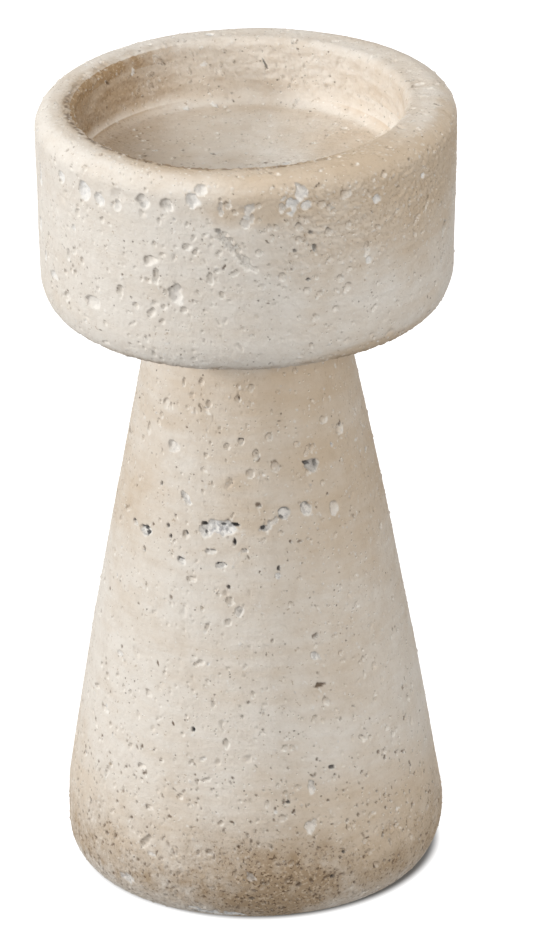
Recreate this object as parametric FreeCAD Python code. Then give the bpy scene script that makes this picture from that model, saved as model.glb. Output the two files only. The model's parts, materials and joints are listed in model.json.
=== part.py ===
"""Pillar candle holder in cast cement: a shallow round cup bedded on a tapered, hollow pedestal.

The two castings meet in a flat butt joint, with a bed of mortar between them and a steel
dowel up the middle. Four felt pads keep the foot off the table. Nothing on it moves.

Millimetres, +Z up. The origin is on the table, under the middle of the foot.
"""

import FreeCAD
import Part

import math
import os

V = FreeCAD.Vector

# Driving dimensions
OVERALL_HEIGHT = 216.0

CUP_DIAMETER = 110.0  # just under the rim, where it is widest
CUP_HEIGHT = 55.0
CUP_DRAFT = 0.9  # how much smaller the radius is at the foot of the wall
CUP_CORNER_IN = 6.5  # how far the lower corner reaches under the cup
CUP_CORNER_UP = 10.0  # and up its wall
RIM_OUTER_ROUND = 5.5
RIM_INNER_ROUND = 2.5
OPENING_DIAMETER = 86.0
DISH_DEPTH = 17.0
SEAT_DIAMETER = 77.0  # the flat floor, for a 76 mm pillar candle
DISH_FILLET = 4.0

NECK_DIAMETER = 49.7
SHOULDER_DIAMETER = 99.2  # where the flank turns in to the foot
SHOULDER_RISE = 17.5
CONTACT_DIAMETER = 83.0  # the foot's flat underside
FLANK_SWELL = 0.9  # how far the flank stands out from a straight line
HOLLOW_FOOT_DIAMETER = 66.0
HOLLOW_TOP_DIAMETER = 34.0
HOLLOW_TOP_ROUND = 6.0
NECK_WEB = 20.0  # solid cement above the hollow

MORTAR_THICKNESS = 3.0
MORTAR_SETBACK = 1.0  # how far the bed stops short of the neck's edge

DOWEL_DIAMETER = 8.0
DOWEL_LENGTH = 32.0
DOWEL_CHAMFER = 0.8
DOWEL_IN_PEDESTAL = 14.0
DOWEL_SLEEVE = 0.5  # mortar round the dowel

PAD_COUNT = 4
PAD_DIAMETER = 8.0
PAD_THICKNESS = 1.0
PAD_EDGE_ROUND = 0.25

# Sizes that follow from them
CUP_BOTTOM_Z = OVERALL_HEIGHT - CUP_HEIGHT
SEAT_Z = OVERALL_HEIGHT - DISH_DEPTH
NECK_Z = CUP_BOTTOM_Z - MORTAR_THICKNESS
HOLLOW_TOP_Z = NECK_Z - NECK_WEB
FOOT_Z = PAD_THICKNESS
HOLE_RADIUS = DOWEL_DIAMETER / 2 + DOWEL_SLEEVE
DOWEL_BOTTOM_Z = NECK_Z - DOWEL_IN_PEDESTAL
DOWEL_TOP_Z = DOWEL_BOTTOM_Z + DOWEL_LENGTH
CUP_HOLE_TOP_Z = DOWEL_TOP_Z + DOWEL_SLEEVE
PAD_CIRCLE_RADIUS = (HOLLOW_FOOT_DIAMETER + CONTACT_DIAMETER) / 4

# A cubic curve looks round when its handles are this share of the way to the sharp corner.
ROUND_HANDLE = 0.5523


def at(radius, height):
    """A point of a profile, which is drawn in the XZ plane and turned about Z."""
    return V(radius, 0, height)


def curve(*poles):
    bezier = Part.BezierCurve()
    bezier.setPoles(list(poles))
    return bezier.toShape()


def corner(start, apex, end):
    """The sharp corner at apex, rounded from start to end."""
    return curve(
        start,
        start + (apex - start) * ROUND_HANDLE,
        end + (apex - end) * ROUND_HANDLE,
        end,
    )


def lines(*points):
    """Straight edges from each point to the next."""
    return [Part.LineSegment(a, b).toShape() for a, b in zip(points, points[1:])]


def turned(edges):
    """The solid that a closed profile makes when it is turned about Z."""
    solid = Part.Face(Part.Wire(edges)).revolve(V(0, 0, 0), V(0, 0, 1), 360)
    if solid.Volume < 0:
        solid.reverse()
    return solid


def cup():
    """The cup: a flat-floored dish above, and a blind hole for the dowel below."""
    wall_top = CUP_DIAMETER / 2
    wall_foot = wall_top - CUP_DRAFT
    opening = OPENING_DIAMETER / 2
    seat = SEAT_DIAMETER / 2

    seat_edge = at(seat, SEAT_Z)
    dish_corner = at(seat + DISH_FILLET, SEAT_Z)
    dish_wall = at(seat + DISH_FILLET, SEAT_Z + DISH_FILLET)
    lip_low = at(opening, OVERALL_HEIGHT - RIM_INNER_ROUND)
    lip_corner = at(opening, OVERALL_HEIGHT)
    lip_high = at(opening + RIM_INNER_ROUND, OVERALL_HEIGHT)
    rim_inner = at(wall_top - RIM_OUTER_ROUND, OVERALL_HEIGHT)
    rim_corner = at(wall_top, OVERALL_HEIGHT)
    rim_outer = at(wall_top, OVERALL_HEIGHT - RIM_OUTER_ROUND)
    wall_low = at(wall_foot, CUP_BOTTOM_Z + CUP_CORNER_UP)
    base_corner = at(wall_foot, CUP_BOTTOM_Z)
    base_edge = at(wall_foot - CUP_CORNER_IN, CUP_BOTTOM_Z)

    profile = lines(at(0, SEAT_Z), seat_edge)
    profile += [corner(seat_edge, dish_corner, dish_wall)]
    profile += lines(dish_wall, lip_low)
    profile += [corner(lip_low, lip_corner, lip_high)]
    profile += lines(lip_high, rim_inner)
    profile += [corner(rim_inner, rim_corner, rim_outer)]
    profile += lines(rim_outer, wall_low)
    profile += [corner(wall_low, base_corner, base_edge)]
    profile += lines(
        base_edge,
        at(HOLE_RADIUS, CUP_BOTTOM_Z),
        at(HOLE_RADIUS, CUP_HOLE_TOP_Z),
        at(0, CUP_HOLE_TOP_Z),
        at(0, SEAT_Z),
    )
    return turned(profile)


def pedestal():
    """The pedestal: a cone that swells a little, with a soft foot and a tapered hollow."""
    neck = at(NECK_DIAMETER / 2, NECK_Z)
    shoulder = at(SHOULDER_DIAMETER / 2, FOOT_Z + SHOULDER_RISE)
    contact = at(CONTACT_DIAMETER / 2, FOOT_Z)
    outward = V(neck.z - shoulder.z, 0, shoulder.x - neck.x).normalize()
    swell = (neck + shoulder) / 2 + outward * (2 * FLANK_SWELL)
    down_flank = (shoulder - swell).normalize()

    hollow_foot = at(HOLLOW_FOOT_DIAMETER / 2, FOOT_Z)
    hollow_corner = at(HOLLOW_TOP_DIAMETER / 2, HOLLOW_TOP_Z)
    down_hollow = (hollow_foot - hollow_corner).normalize()
    round_low = hollow_corner + down_hollow * HOLLOW_TOP_ROUND
    round_high = hollow_corner - V(HOLLOW_TOP_ROUND, 0, 0)

    profile = [
        curve(neck, swell, shoulder),
        curve(
            shoulder,
            shoulder + down_flank * (SHOULDER_RISE * ROUND_HANDLE),
            contact + V((shoulder.x - contact.x) * ROUND_HANDLE, 0, 0),
            contact,
        ),
    ]
    profile += lines(contact, hollow_foot, round_low)
    profile += [corner(round_low, hollow_corner, round_high)]
    profile += lines(
        round_high,
        at(0, HOLLOW_TOP_Z),
        at(0, DOWEL_BOTTOM_Z),
        at(HOLE_RADIUS, DOWEL_BOTTOM_Z),
        at(HOLE_RADIUS, NECK_Z),
        neck,
    )
    return turned(profile)


def joint_mortar():
    """The mortar: a bed between the castings, and a sleeve that fills both dowel holes."""
    dowel = DOWEL_DIAMETER / 2
    bed_edge = NECK_DIAMETER / 2 - MORTAR_SETBACK
    return turned(
        lines(
            at(dowel, DOWEL_BOTTOM_Z),
            at(HOLE_RADIUS, DOWEL_BOTTOM_Z),
            at(HOLE_RADIUS, NECK_Z),
            at(bed_edge, NECK_Z),
            at(bed_edge, CUP_BOTTOM_Z),
            at(HOLE_RADIUS, CUP_BOTTOM_Z),
            at(HOLE_RADIUS, CUP_HOLE_TOP_Z),
            at(0, CUP_HOLE_TOP_Z),
            at(0, DOWEL_TOP_Z),
            at(dowel, DOWEL_TOP_Z),
            at(dowel, DOWEL_BOTTOM_Z),
        )
    )


def round_edges(solid):
    return [e for e in solid.Edges if isinstance(e.Curve, Part.Circle)]


def dowel_pin():
    """The steel dowel that centres the cup, chamfered at both ends."""
    pin = Part.makeCylinder(DOWEL_DIAMETER / 2, DOWEL_LENGTH, at(0, DOWEL_BOTTOM_Z))
    return pin.makeChamfer(DOWEL_CHAMFER, round_edges(pin))


def foot_pad(number):
    """One felt disc, halfway across the foot's flat ring."""
    angle = 2 * math.pi * (number + 0.5) / PAD_COUNT
    centre = V(math.cos(angle), math.sin(angle), 0) * PAD_CIRCLE_RADIUS
    disc = Part.makeCylinder(PAD_DIAMETER / 2, PAD_THICKNESS, centre)
    return disc.makeFillet(PAD_EDGE_ROUND, [min(round_edges(disc), key=lambda e: e.BoundBox.ZMin)])


def main():
    parts = {
        "cup": cup(),
        "pedestal": pedestal(),
        "joint_mortar": joint_mortar(),
        "dowel_pin": dowel_pin(),
    }
    for number in range(PAD_COUNT):
        parts[f"foot_pad_{number + 1}"] = foot_pad(number)
    os.makedirs("parts", exist_ok=True)
    for name, shape in parts.items():
        if not shape.isValid():
            raise ValueError(f"{name} is not a valid solid")
        shape.exportStep(f"parts/{name}.step")
        print(f"{name}: {shape.Volume / 1000:.2f} cm3")


main()
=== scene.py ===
# Looks of the pillar candle holder: two weathered cement castings with travertine-like pits,
# the mortar squeezed out of their joint, and felt pads under the foot.
import json
import math

import bpy
import numpy as np
from mathutils import Matrix, Vector


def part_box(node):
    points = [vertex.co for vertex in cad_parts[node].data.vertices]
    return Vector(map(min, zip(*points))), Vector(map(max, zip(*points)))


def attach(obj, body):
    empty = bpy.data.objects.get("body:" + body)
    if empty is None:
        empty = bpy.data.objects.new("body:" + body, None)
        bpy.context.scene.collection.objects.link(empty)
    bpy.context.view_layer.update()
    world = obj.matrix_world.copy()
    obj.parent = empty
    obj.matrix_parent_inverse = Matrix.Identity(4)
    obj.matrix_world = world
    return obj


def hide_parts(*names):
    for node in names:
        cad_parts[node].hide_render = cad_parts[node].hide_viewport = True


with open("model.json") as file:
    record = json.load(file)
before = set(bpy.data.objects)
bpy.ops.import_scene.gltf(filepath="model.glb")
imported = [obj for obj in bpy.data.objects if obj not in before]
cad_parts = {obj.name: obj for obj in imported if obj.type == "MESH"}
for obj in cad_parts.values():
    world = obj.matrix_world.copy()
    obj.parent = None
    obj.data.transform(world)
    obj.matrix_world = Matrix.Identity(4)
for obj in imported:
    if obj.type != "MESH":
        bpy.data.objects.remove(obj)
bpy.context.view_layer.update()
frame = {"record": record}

# Shapes below are worked out in millimetres and turned into metres when a mesh is made.
MM = 0.001
ROUND_HANDLE = 0.5523  # handle length that makes a cubic curve look like a quarter circle

# Main sizes, read from the frame
cup_low, cup_high = (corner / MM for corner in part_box("cup"))
ped_low, ped_high = (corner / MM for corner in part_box("pedestal"))
seat = next(m for m in frame["record"]["mounts"] if m["name"] == "candle_seat")
CUP_RADIUS = cup_high.x
CUP_TOP = cup_high.z
CUP_BOTTOM = cup_low.z
SEAT_Z = seat["pos_m"][2] / MM
NECK_Z = ped_high.z
FOOT_Z = ped_low.z
mortar_bed_low, mortar_bed_high = NECK_Z, CUP_BOTTOM
SHOULDER_RADIUS = ped_high.x

# The rest of the outlines, as in the CAD part
CUP_DRAFT = 0.9
CUP_CORNER_IN = 6.5
CUP_CORNER_UP = 10.0
RIM_OUTER_ROUND = 5.5
RIM_INNER_ROUND = 2.5
OPENING_RADIUS = 43.0
SEAT_RADIUS = 38.5
DISH_FILLET = 4.0
BED_RADIUS = 23.85
NECK_RADIUS = 24.85
SHOULDER_RISE = 17.5
CONTACT_RADIUS = 41.5
FLANK_SWELL = 0.9
HOLLOW_FOOT_RADIUS = 33.0
HOLLOW_TOP_RADIUS = 17.0
HOLLOW_TOP_ROUND = 6.0
HOLLOW_TOP_Z = NECK_Z - 20.0

# Unevenness of the hand casting
CUP_TILT = 0.0155  # the cup sits a little higher on the right
DISH_SHIFT = -1.3  # the dish sits a little to the left of the cup's middle
BACK_WASH = 0.35  # how much tan shows on the cup's back

GRID_STEP = 0.33  # distance between the points of a cast surface
CORE_RADIUS = 12  # nearer the middle of a flat face than this, the rows are wider apart


# ---------------------------------------------------------------- noise and small helpers
class Noise:
    """Smooth seeded noise over points in space, between about -1 and 1. A number added to the
    points, such as + 700, only takes the noise from somewhere else, so that it differs."""

    def __init__(self, seed):
        random = np.random.default_rng(seed)
        self.order = random.permutation(256)
        slopes = random.normal(size=(256, 3))
        self.slopes = slopes / np.linalg.norm(slopes, axis=1, keepdims=True)

    def __call__(self, points, size):
        scaled = np.asarray(points, float) / size
        cell = np.floor(scaled).astype(int)
        inside = scaled - cell
        ease = inside**3 * (inside * (inside * 6 - 15) + 10)
        total = np.zeros(scaled.shape[:-1])
        for corner in np.ndindex(2, 2, 2):
            key = self.order[(cell[..., 0] + corner[0]) & 255]
            key = self.order[(key + cell[..., 1] + corner[1]) & 255]
            key = self.order[(key + cell[..., 2] + corner[2]) & 255]
            away = inside - corner
            share = np.prod(np.where(corner, ease, 1 - ease), axis=-1)
            total += share * np.sum(self.slopes[key] * away, axis=-1)
        return total * 1.7

    def layers(self, points, size, count):
        """Several sizes of noise on top of each other, each half as wide and half as strong."""
        total = sum(self(points, size / 2**i) / 2**i for i in range(count))
        return total / (2 - 2 ** (1 - count))


def smooth(low, high, x):
    t = np.clip((x - low) / (high - low), 0, 1)
    return t * t * (3 - 2 * t)


def bump(centre, width, x):
    """1 at centre, falling smoothly to 0 at width from it."""
    return 1 - smooth(0, width, np.abs(x - centre))


def curve(poles, steps=48):
    """Points along a Bezier curve."""
    t = np.linspace(0, 1, steps)[:, None]
    degree = len(poles) - 1
    return sum(
        math.comb(degree, i) * (1 - t) ** (degree - i) * t**i * np.array(pole, float)
        for i, pole in enumerate(poles)
    )


def rounded(start, apex, end):
    """The sharp corner at apex, rounded from start to end."""
    start, apex, end = (np.array(p, float) for p in (start, apex, end))
    return curve([start, start + (apex - start) * ROUND_HANDLE, end + (apex - end) * ROUND_HANDLE, end])


def resample(stretches):
    """Points along a profile. Each stretch is a list of points and the spacing wanted on it."""
    rows = []
    for points, spacing in stretches:
        points = np.array(points, float)
        along = np.r_[0, np.cumsum(np.linalg.norm(np.diff(points, axis=0), axis=1))]
        count = max(2, int(round(along[-1] / spacing)) + 1)
        wanted = np.linspace(0, along[-1], count)
        part = np.column_stack([np.interp(wanted, along, points[:, i]) for i in range(2)])
        rows.append(part if not rows else part[1:])
    return np.vstack(rows)


# ---------------------------------------------------------------- the cast skins
class Skin:
    """The surface of a casting: a profile turned about Z, with relief and pits pushed into it."""

    def __init__(self, name, profile, columns, seed):
        self.name = name
        self.centre = np.zeros(3)
        self.charts = []
        self.random = np.random.default_rng(seed)
        self.noise = Noise(seed + 1)
        self.columns = columns
        self.profile = profile
        along = np.gradient(profile, axis=0)
        along /= np.linalg.norm(along, axis=1, keepdims=True)
        self.run = np.r_[0, np.cumsum(np.linalg.norm(np.diff(profile, axis=0), axis=1))]
        self.angles = np.arange(columns) * 2 * math.pi / columns
        # Angle 0 is the front, -Y, and angles grow towards the right, +X.
        self.round = np.column_stack([np.sin(self.angles), -np.cos(self.angles)])
        radius, height = profile[:, 0, None], profile[:, 1, None]
        self.points = self.place(radius, height)
        self.normals = self.place(along[:, 1, None] * -1, along[:, 0, None])
        self.down = self.place(along[:, 0, None], along[:, 1, None])
        shape = self.points.shape[:2]
        self.relief = np.zeros(shape)
        self.pits = np.zeros(shape)
        self.raw = np.zeros(shape)
        self.dark = np.zeros(shape)
        self.wash = np.zeros(shape)
        self.dust_and_shade = np.zeros(shape)
        self.dirt_and_shade = np.zeros(shape)
        self.painted_highlight = np.zeros(shape)

    def place(self, radius, height):
        radius = np.broadcast_to(radius, (len(radius), self.columns))
        height = np.broadcast_to(height, radius.shape)
        return np.stack([radius * self.round[:, 0], radius * self.round[:, 1], height], axis=-1)

    def row_at(self, height, stretch=(0, 1)):
        """The row of the profile nearest to a height, within a share of its length."""
        share = self.run / self.run[-1]
        off = np.abs(self.profile[:, 1] - height)
        off[(share < stretch[0]) | (share > stretch[1])] = np.inf
        return int(np.argmin(off))

    def window(self, angle, row, reach):
        """Rows and columns of the grid within reach of a spot, and offsets from it in mm."""
        first = np.searchsorted(self.run, self.run[row] - reach)
        last = np.searchsorted(self.run, self.run[row] + reach)
        radius = max(self.profile[row, 0], 0.5)
        step = radius * 2 * math.pi / self.columns
        half = min(int(reach / step) + 1, self.columns // 2 - 1)
        middle = int(round(angle / (2 * math.pi) * self.columns))
        columns = np.arange(middle - half, middle + half + 1) % self.columns
        area = np.ix_(np.arange(first, last), columns)
        centre = self.points[row, middle % self.columns]
        offset = self.points[area] - centre
        across = np.array([math.cos(angle), math.sin(angle), 0])
        down = self.down[row, middle % self.columns]
        return area, offset @ across, offset @ down

    def stamp(self, angle, row, width, height, depth, turn=0.0, kind="pit", raw=0.0, dark=0.0, dust_and_shade=0.0,
              lid=0.0, ragged=1.0):
        """One pit or dent. Width goes round the casting and height along its profile. Dark paints the
        pit black, a painted shadow. A lid is a hollow under the pit's upper edge with a painted
        shadow in it."""
        reach = max(width, height) * 0.75 + 1
        area, across, down = self.window(angle, row, reach)
        u = across * math.cos(turn) + down * math.sin(turn)
        v = down * math.cos(turn) - across * math.sin(turn)
        size = min(width, height)
        here = self.points[area]
        warp = self.noise(here + 50, max(size * 0.8, 0.9)) * 0.34 * ragged
        if size > 1:
            warp += self.noise(here + 90, max(size * 0.35, 0.7)) * 0.16 * ragged
        away = np.hypot(u / (width / 2), v / (height / 2)) + warp
        if kind == "grain":
            self.relief[area] += depth * (1 - smooth(0.2, 1.1, away))
            # The grain's top is painted pale: rubbed-off wash and a painted highlight
            self.raw[area] = np.maximum(self.raw[area], 0.5 * (1 - smooth(0.3, 0.9, away)))
            return
        if kind == "dent":
            shape = 1 - smooth(0.1, 1.25, away)
        else:
            bowl = np.clip(1 - away**2, 0, 1)
            rough = self.noise(here + 130, 1.1) * 0.5 * ragged if size > 1 else 0.0
            shape = (1 - smooth(0.68, 1.02, away)) * (0.6 + 0.4 * bowl) * (1 + 0.5 * rough)
            self.paint_pit_light_and_shade(area, across / size, down / size, away, depth)
        self.pits[area] = np.minimum(self.pits[area], -0.8 * depth * shape)
        if raw:
            self.raw[area] = np.maximum(self.raw[area], raw * (1 - smooth(0.8, 1.05, away)))
        # Painted shadow: the pit is darkened towards black
        if dark:
            self.dark[area] = np.maximum(self.dark[area], dark * (1 - smooth(0.75, 1.05, away)))
        # Painted shadow in a crescent under the upper edge, which is also cut deeper
        if lid:
            crescent = bump(0.78, 0.3, away) * smooth(0.05, 0.5, -down / (height / 2) + 0.5 * rough)
            self.dark[area] = np.maximum(self.dark[area], lid * smooth(0.25, 0.6, crescent))
            self.pits[area] -= 0.6 * crescent
        # Dirt and painted shade darken the pit's inside
        if dust_and_shade:
            self.dirt_and_shade[area] = np.maximum(self.dirt_and_shade[area], dust_and_shade * (1 - smooth(0.6, 1.1, away)))

    def paint_pit_light_and_shade(self, area, across, down, away, depth):
        """Painted light on a pit: a painted highlight along its lower right lip, and painted shade on
        its upper left side.
        """
        side = 0.8 * down + 0.6 * across
        strength = min(1, depth / 0.5)
        lower = 0.3 * smooth(1.1, 0.8, away) + 0.5 * bump(0.95, 0.26, away)
        lower = lower * smooth(-0.05, 0.35, side)
        upper = bump(0.9, 0.22, away) * smooth(0.0, 0.35, -side)
        self.painted_highlight[area] = np.maximum(self.painted_highlight[area], strength * lower)
        self.dirt_and_shade[area] = np.maximum(self.dirt_and_shade[area], 0.6 * strength * upper)

    def mark(self, right, height, width, tall, depth, turn=0, **look):
        """A pit placed on the outer wall: degrees to the right of the front, height in mm.
        A positive turn, in degrees, leads its long side down towards the right."""
        row = self.row_at(height, self.outside)
        self.stamp(math.radians(right), row, width, tall, depth, math.radians(turn), **look)

    def groove(self, path, width, depth, **look):
        """A gouge along a few (degrees right, height) points, made of overlapping marks."""
        path = np.array(path, float)
        for start, end in zip(path, path[1:]):
            for share in np.arange(0, 1, 0.25):
                right, height = start + (end - start) * share
                uneven = depth * self.random.uniform(0.7, 1)
                self.mark(right, height, width, width * 1.3, uneven, **look)

    def scatter(self, density, sizes, rows, weight=None, raw_share=0.0, dirt_and_shade_share=0.0, grains=False):
        """Random pits or grains over some rows. Density is per square mm, and sizes are least and
        most. Weight thins them out: a share from 0 to 1 for an angle and a height."""
        random = self.random
        first, last = rows
        run, radius = self.run[first:last], self.profile[first:last, 0]
        area = np.gradient(run) * radius * 2 * math.pi
        heaps = np.cumsum(area)
        for _ in range(int(density * heaps[-1])):
            row = first + int(np.searchsorted(heaps, random.random() * heaps[-1]))
            angle = random.uniform(-math.pi, math.pi)
            size = sizes[0] + (sizes[1] - sizes[0]) * random.random() ** 1.8
            long = 1 + random.random() ** 2 * 1.8 * (random.random() < 0.6)
            turn = random.normal() * 0.9
            depth = min(size * random.uniform(0.35, 0.65), 1.4)
            raw = random.uniform(0.5, 1) * (random.random() < raw_share)
            # Some pits are darkened inside: dirt and painted shade
            dirt_and_shade = random.uniform(0.4, 1) * (random.random() < dirt_and_shade_share)
            kind = "dent" if random.random() < 0.3 else "pit"
            keep = 1 if weight is None else weight(math.degrees(angle), self.profile[row, 1])
            if self.profile[row, 0] < 2 * size or random.random() > keep:
                continue
            if grains:
                self.stamp(angle, row, size, size, size * random.uniform(0.13, 0.28), kind="grain")
            else:
                self.stamp(angle, row, size, size * long, depth, turn, kind, raw, dust_and_shade=dirt_and_shade, ragged=1.5)

    def flat(self, values):
        """Values of the grid as one list: the middle of each end row is one point."""
        return np.concatenate([values[1:-1].reshape((-1,) + values.shape[2:]), values[[0, -1], 0]])

    def grid_mesh(self, points):
        """A mesh over the grid, closed by a fan of triangles at each end."""
        rows, columns = points.shape[0] - 2, points.shape[1]
        index = np.arange(rows * columns).reshape(rows, columns)
        right = np.roll(index, -1, axis=1)
        first, last = np.full(columns, rows * columns), np.full(columns, rows * columns + 1)
        quads = np.stack([index[:-1], index[1:], right[1:], right[:-1]], axis=-1).reshape(-1)
        fans = np.concatenate([
            np.stack([first, index[0], right[0]], axis=-1),
            np.stack([last, right[-1], index[-1]], axis=-1),
        ]).reshape(-1)
        sizes = np.r_[np.full(len(quads) // 4, 4), np.full(len(fans) // 3, 3)]
        mesh = bpy.data.meshes.new(self.name)
        mesh.vertices.add(rows * columns + 2)
        mesh.vertices.foreach_set("co", self.flat(points).reshape(-1))
        mesh.loops.add(len(quads) + len(fans))
        mesh.loops.foreach_set("vertex_index", np.r_[quads, fans])
        mesh.polygons.add(len(sizes))
        mesh.polygons.foreach_set("loop_start", np.r_[0, np.cumsum(sizes)[:-1]])
        mesh.update(calc_edges=True)
        return mesh

    def finish(self, material, node):
        """The finished piece, with its relief and pits pushed into the surface."""
        height = (self.relief + self.pits)[..., None]
        mesh = self.grid_mesh((self.points + self.normals * height + self.centre) * MM)
        fields = {
            "deep": np.clip(-self.pits / 1.1, 0, 1), "raw": self.raw, "dark": self.dark,
            "wash": self.wash, "dust_and_shade": self.dust_and_shade, "dirt_and_shade": self.dirt_and_shade, "painted_highlight": self.painted_highlight,
            "run": np.broadcast_to(self.run[:, None], self.raw.shape),
        }
        for label, values in fields.items():
            layer = mesh.attributes.new(label, "FLOAT", "POINT")
            layer.data.foreach_set("value", self.flat(values).astype(np.float32))
        piece = add_object(self.name, mesh, material)
        mesh.shade_smooth()
        self.unwrap(mesh)
        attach(piece, "root")
        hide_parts(node)

    def unwrap(self, mesh):
        """Lays the skin out flat, chart by chart. A chart is a stretch of the profile that becomes
        either a disc or a band, and a band may be cut into lengths that lie side by side."""
        corner = np.empty(len(mesh.loops), np.int32)
        mesh.loops.foreach_get("vertex_index", corner)
        starts = np.empty(len(mesh.polygons), np.int32)
        mesh.polygons.foreach_get("loop_start", starts)
        sizes = np.diff(np.r_[starts, len(corner)])
        places = np.empty(len(mesh.vertices) * 3)
        mesh.vertices.foreach_get("co", places)
        places = places.reshape(-1, 3) / MM - self.centre
        run = np.empty(len(mesh.vertices), np.float32)
        mesh.attributes["run"].data.foreach_get("value", run)
        run = run[corner]
        turn = (np.arctan2(places[:, 0], -places[:, 1]) / (2 * math.pi) % 1)[corner]
        turn -= np.round(turn - np.repeat(turn[starts], sizes))
        middle_run = np.repeat(np.add.reduceat(run, starts) / sizes, sizes)
        middle_turn = np.repeat(np.add.reduceat(turn, starts) / sizes, sizes)
        flat = np.zeros((len(corner), 2))
        for chart in self.charts:
            start, end = chart["rows"]
            here = (middle_run >= start) & (middle_run <= end)
            share = (run - start) / (end - start)
            left, low, right, high = chart["area"]
            if chart["shape"] == "band":
                lengths = chart.get("lengths", 1)
                which = np.clip(np.floor(middle_turn * lengths), 0, lengths - 1)
                u = left + (turn * lengths - which) * (right - left)
                v = low + (which + 0.02 + share * 0.96) * (high - low) / lengths
            else:
                reach = share if chart["shape"] == "disc" else 1 - share
                u = (left + right) / 2 + reach * np.sin(turn * 2 * math.pi) * (right - left) / 2
                v = (low + high) / 2 - reach * np.cos(turn * 2 * math.pi) * (high - low) / 2
            flat[here] = np.column_stack([u, v])[here]
        layer = mesh.uv_layers.new(name="OFBake")
        layer.data.foreach_set("uv", flat.reshape(-1).astype(np.float32))
        mesh.attributes.remove(mesh.attributes["run"])


def add_object(name, mesh, material):
    piece = bpy.data.objects.new(name, mesh)
    bpy.context.scene.collection.objects.link(piece)
    mesh.materials.append(material)
    return piece


# ---------------------------------------------------------------- outlines
def cup_profile(step):
    """From the middle of the dish's floor, over the rim and down to the middle of the underside."""
    wall_foot = CUP_RADIUS - CUP_DRAFT
    dish = SEAT_RADIUS + DISH_FILLET
    lip_low = (OPENING_RADIUS, CUP_TOP - RIM_INNER_ROUND)
    lip_high = (OPENING_RADIUS + RIM_INNER_ROUND, CUP_TOP)
    rim_inner = (CUP_RADIUS - RIM_OUTER_ROUND, CUP_TOP)
    rim_outer = (CUP_RADIUS, CUP_TOP - RIM_OUTER_ROUND)
    wall_low = (wall_foot, CUP_BOTTOM + CUP_CORNER_UP)
    base_edge = (wall_foot - CUP_CORNER_IN, CUP_BOTTOM)
    seat_edge = (SEAT_RADIUS, SEAT_Z)
    dish_wall = (dish, SEAT_Z + DISH_FILLET)
    return resample([
        ([(0, SEAT_Z), (CORE_RADIUS, SEAT_Z)], step * 2),
        ([(CORE_RADIUS, SEAT_Z), seat_edge], step * 1.2),
        (rounded(seat_edge, (dish, SEAT_Z), dish_wall), step),
        ([dish_wall, lip_low], step),
        (rounded(lip_low, (OPENING_RADIUS, CUP_TOP), lip_high), step),
        ([lip_high, rim_inner], step),
        (rounded(rim_inner, (CUP_RADIUS, CUP_TOP), rim_outer), step),
        ([rim_outer, wall_low], step),
        (rounded(wall_low, (wall_foot, CUP_BOTTOM), base_edge), step),
        ([base_edge, (CORE_RADIUS, CUP_BOTTOM)], step * 1.6),
        ([(CORE_RADIUS, CUP_BOTTOM), (0, CUP_BOTTOM)], step * 4),
    ])


def pedestal_profile(step):
    """From the middle of the neck's top, down the flank, under the foot and up into the hollow."""
    neck = np.array((NECK_RADIUS, NECK_Z))
    shoulder = np.array((SHOULDER_RADIUS, FOOT_Z + SHOULDER_RISE))
    contact = np.array((CONTACT_RADIUS, FOOT_Z))
    flank = shoulder - neck
    outward = np.array((-flank[1], flank[0])) / np.linalg.norm(flank)
    swell = (neck + shoulder) / 2 + outward * 2 * FLANK_SWELL
    down_flank = (shoulder - swell) / np.linalg.norm(shoulder - swell)
    below_shoulder = shoulder + down_flank * SHOULDER_RISE * ROUND_HANDLE
    foot_in = contact + np.array(((SHOULDER_RADIUS - CONTACT_RADIUS) * ROUND_HANDLE, 0))
    hollow_foot = np.array((HOLLOW_FOOT_RADIUS, FOOT_Z))
    hollow_corner = np.array((HOLLOW_TOP_RADIUS, HOLLOW_TOP_Z))
    down_hollow = (hollow_foot - hollow_corner) / np.linalg.norm(hollow_foot - hollow_corner)
    round_low = hollow_corner + down_hollow * HOLLOW_TOP_ROUND
    round_high = hollow_corner - np.array((HOLLOW_TOP_ROUND, 0))
    return resample([
        ([(0, NECK_Z), neck], step * 4),
        (curve([neck, swell, shoulder], 200), step),
        (curve([shoulder, below_shoulder, foot_in, contact]), step),
        ([contact, hollow_foot], step * 1.5),
        ([hollow_foot, round_low], step * 3),
        (rounded(round_low, hollow_corner, round_high), step * 3),
        ([round_high, (0, HOLLOW_TOP_Z)], step * 4),
    ])


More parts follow.
